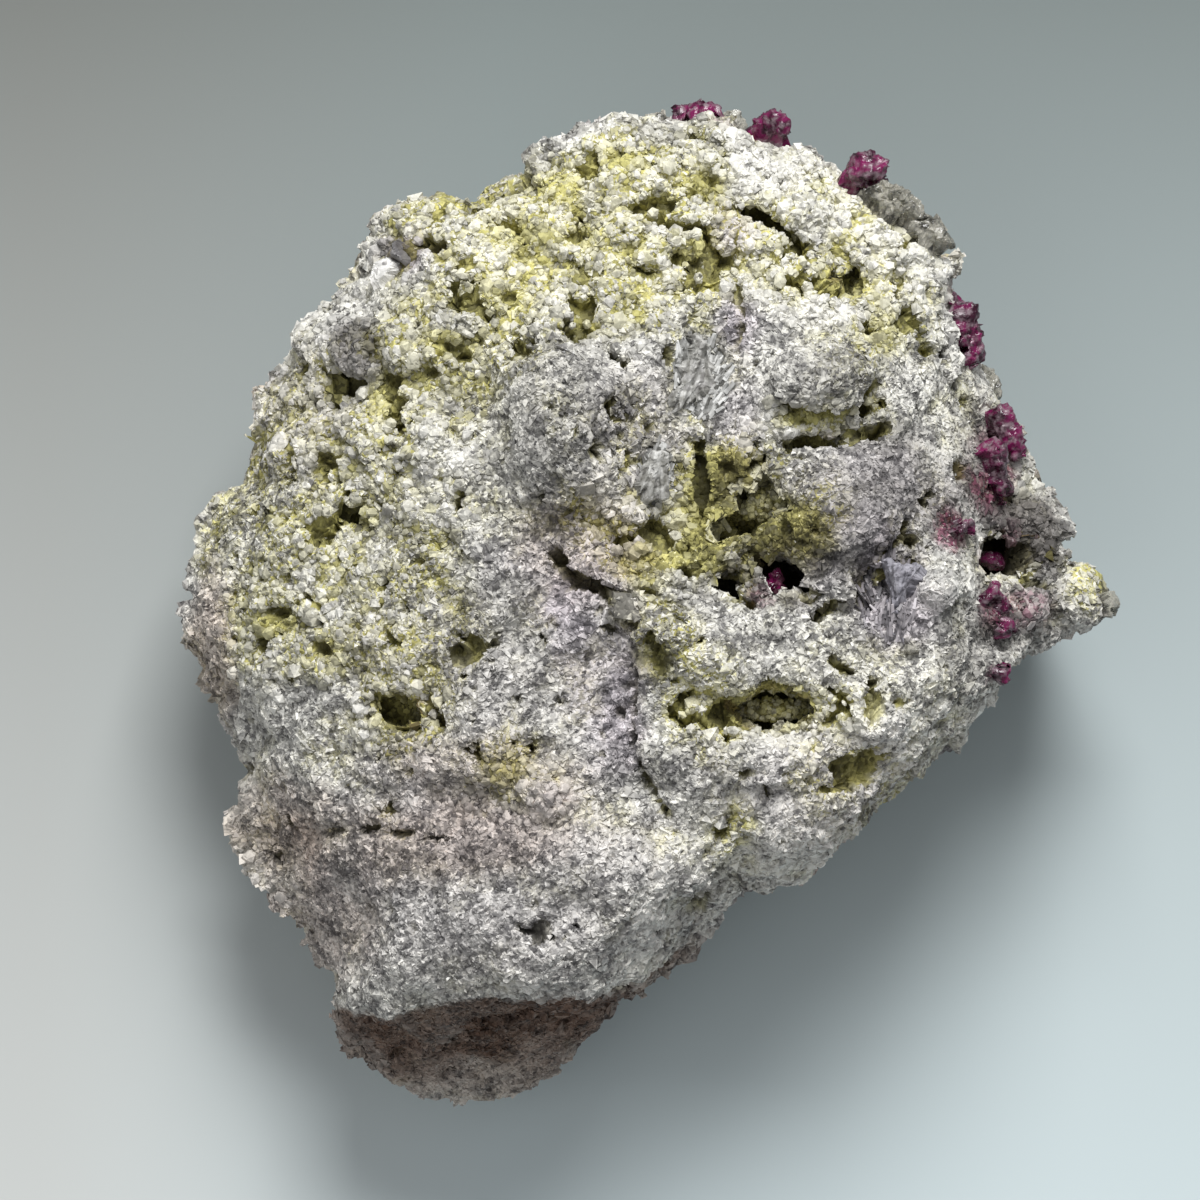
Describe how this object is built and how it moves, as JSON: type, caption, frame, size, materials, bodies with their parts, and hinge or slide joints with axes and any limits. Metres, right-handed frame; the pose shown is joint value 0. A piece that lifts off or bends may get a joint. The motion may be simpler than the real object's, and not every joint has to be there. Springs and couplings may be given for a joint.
{
  "type": "tourmaline cluster on matrix",
  "caption": "Lump of grey lepidolite rock with yellow-green vugs, albite, quartz and mica, set with pink rubellite tourmaline prisms; rests on its flat back.",
  "frame": {"origin": "middle of the object's outline, on the plane that its flat back rests on", "axes": "+X across the face that the picture shows, to its right; +Y up that face, the longest extent; +Z out of the flat back through the face, the shortest extent"},
  "size_m": [0.1204, 0.1288, 0.0527],
  "materials": {
    "lepidolite_rock": "granular, sparkling with fine mica, stained yellow-green in places",
    "rubellite": "translucent, striated, glassy",
    "quartz": "translucent, broken",
    "mica": "pearly cleaved sheets",
    "lavender_lepidolite": "fine scaly, pearly",
    "albite": "white bladed, satin",
    "yellow_crust": "small blocky crystals, satin"
  },
  "bodies": {
    "root": {"matrix": "lepidolite_rock", "rubellite_top_left": "rubellite", "rubellite_top_right": "rubellite", "rubellite_upper_right": "rubellite", "rubellite_rim_upper": "rubellite", "rubellite_rim_middle": "rubellite", "rubellite_rim_lower": "rubellite", "rubellite_spot": "rubellite", "rubellite_bright": "rubellite", "rubellite_small": "rubellite", "rubellite_bundle_right": "rubellite", "rubellite_bundle_corner": "rubellite", "rubellite_bundle_top": "rubellite", "rubellite_wall_1": "rubellite", "rubellite_wall_2": "rubellite", "rubellite_wall_3": "rubellite", "rubellite_wall_4": "rubellite", "quartz_top_left": "quartz", "quartz_top_link": "quartz", "quartz_upper_right": "quartz", "quartz_shoulder": "quartz", "quartz_brown": "quartz", "quartz_nose": "quartz", "quartz_wall_1": "quartz", "quartz_wall_2": "quartz", "quartz_wall_3": "quartz", "quartz_wall_4": "quartz", "quartz_wall_5": "quartz", "quartz_wall_6": "quartz", "mica_plate_bright": "mica", "mica_plate_dark": "mica", "lavender_columns": "lavender_lepidolite", "albite_blades": "albite", "albite_blades_lower": "albite", "crust_central_vug": "yellow_crust", "crust_lower_vug": "yellow_crust", "crust_right_vug": "rubellite", "crust_pocket": "rubellite"}
  },
  "joints": []
}
